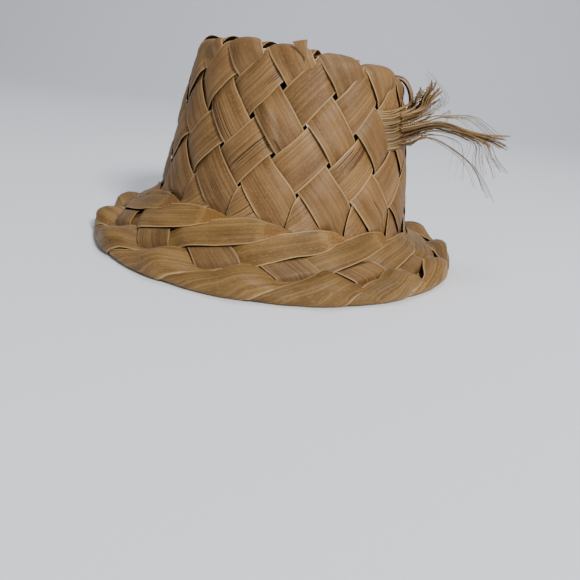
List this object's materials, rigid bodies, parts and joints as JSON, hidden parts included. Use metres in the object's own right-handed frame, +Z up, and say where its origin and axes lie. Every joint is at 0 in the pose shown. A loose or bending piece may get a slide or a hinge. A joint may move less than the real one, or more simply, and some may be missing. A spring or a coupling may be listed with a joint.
{
  "type": "plaited palm leaf hat",
  "caption": "Brimmed hat plaited from palm leaf strips, with a tall tapering crown, a short down-sloping braided brim and a frayed tuft beside the top.",
  "frame": {"origin": "under the middle of the hat's box, tuft included, at the level that the rim stands on", "axes": "+Z up with the rim level; +Y from the low-sloping front of the brim towards the back; +X towards the tuft"},
  "size_m": [0.3108, 0.2834, 0.1491],
  "materials": {
    "leaf_face": "dried palm leaf, smooth side, low sheen, fine veins along the strip",
    "leaf_underside": "dried palm leaf, duller side, fine veins along the strip",
    "frond_midrib": "split palm midrib, matt, long grain",
    "tuft_fibre": "shredded dry leaf ends, matt"
  },
  "bodies": {
    "root": {"brim_leaf_01": "leaf_face", "brim_leaf_02": "leaf_face", "brim_leaf_03": "leaf_face", "brim_leaf_04": "leaf_face", "brim_leaf_05": "leaf_face", "brim_leaf_06": "leaf_face", "brim_leaf_07": "leaf_face", "brim_leaf_08": "leaf_face", "brim_leaf_09": "leaf_face", "brim_leaf_10": "leaf_face", "brim_leaf_11": "leaf_face", "brim_leaf_12": "leaf_face", "brim_leaf_13": "leaf_face", "brim_leaf_14": "leaf_face", "brim_leaf_15": "leaf_face", "crown_leaf_01": "leaf_underside", "crown_leaf_02": "leaf_underside", "crown_leaf_03": "leaf_underside", "crown_leaf_04": "leaf_underside", "crown_leaf_05": "leaf_underside", "crown_leaf_06": "leaf_underside", "crown_leaf_07": "leaf_underside", "crown_leaf_08": "leaf_underside", "crown_leaf_09": "leaf_underside", "crown_leaf_10": "leaf_underside", "crown_leaf_11": "leaf_underside", "crown_leaf_12": "leaf_underside", "crown_leaf_13": "leaf_underside", "crown_leaf_14": "leaf_underside", "crown_leaf_15": "leaf_underside", "top_strip_across_1": "leaf_underside", "top_strip_across_2": "leaf_underside", "top_strip_across_3": "leaf_underside", "top_strip_across_4": "leaf_underside", "top_strip_across_5": "leaf_underside", "top_strip_lengthwise_1": "leaf_underside", "top_strip_lengthwise_2": "leaf_underside", "top_strip_lengthwise_3": "leaf_underside", "top_strip_lengthwise_4": "leaf_underside", "top_strip_lengthwise_5": "leaf_underside", "head_hoop": "frond_midrib", "rim_loop_front": "leaf_underside", "rim_loop_back": "leaf_underside", "tuft_stem": "tuft_fibre", "tuft_strand_01": "tuft_fibre", "tuft_strand_02": "tuft_fibre", "tuft_strand_03": "tuft_fibre", "tuft_strand_04": "tuft_fibre", "tuft_strand_05": "tuft_fibre", "tuft_strand_06": "tuft_fibre", "tuft_strand_07": "tuft_fibre", "tuft_strand_08": "tuft_fibre", "tuft_strand_09": "tuft_fibre", "tuft_strand_10": "tuft_fibre", "tuft_strand_11": "tuft_fibre", "tuft_strand_12": "tuft_fibre", "tuft_strand_13": "tuft_fibre", "tuft_strand_14": "tuft_fibre"}
  },
  "joints": []
}
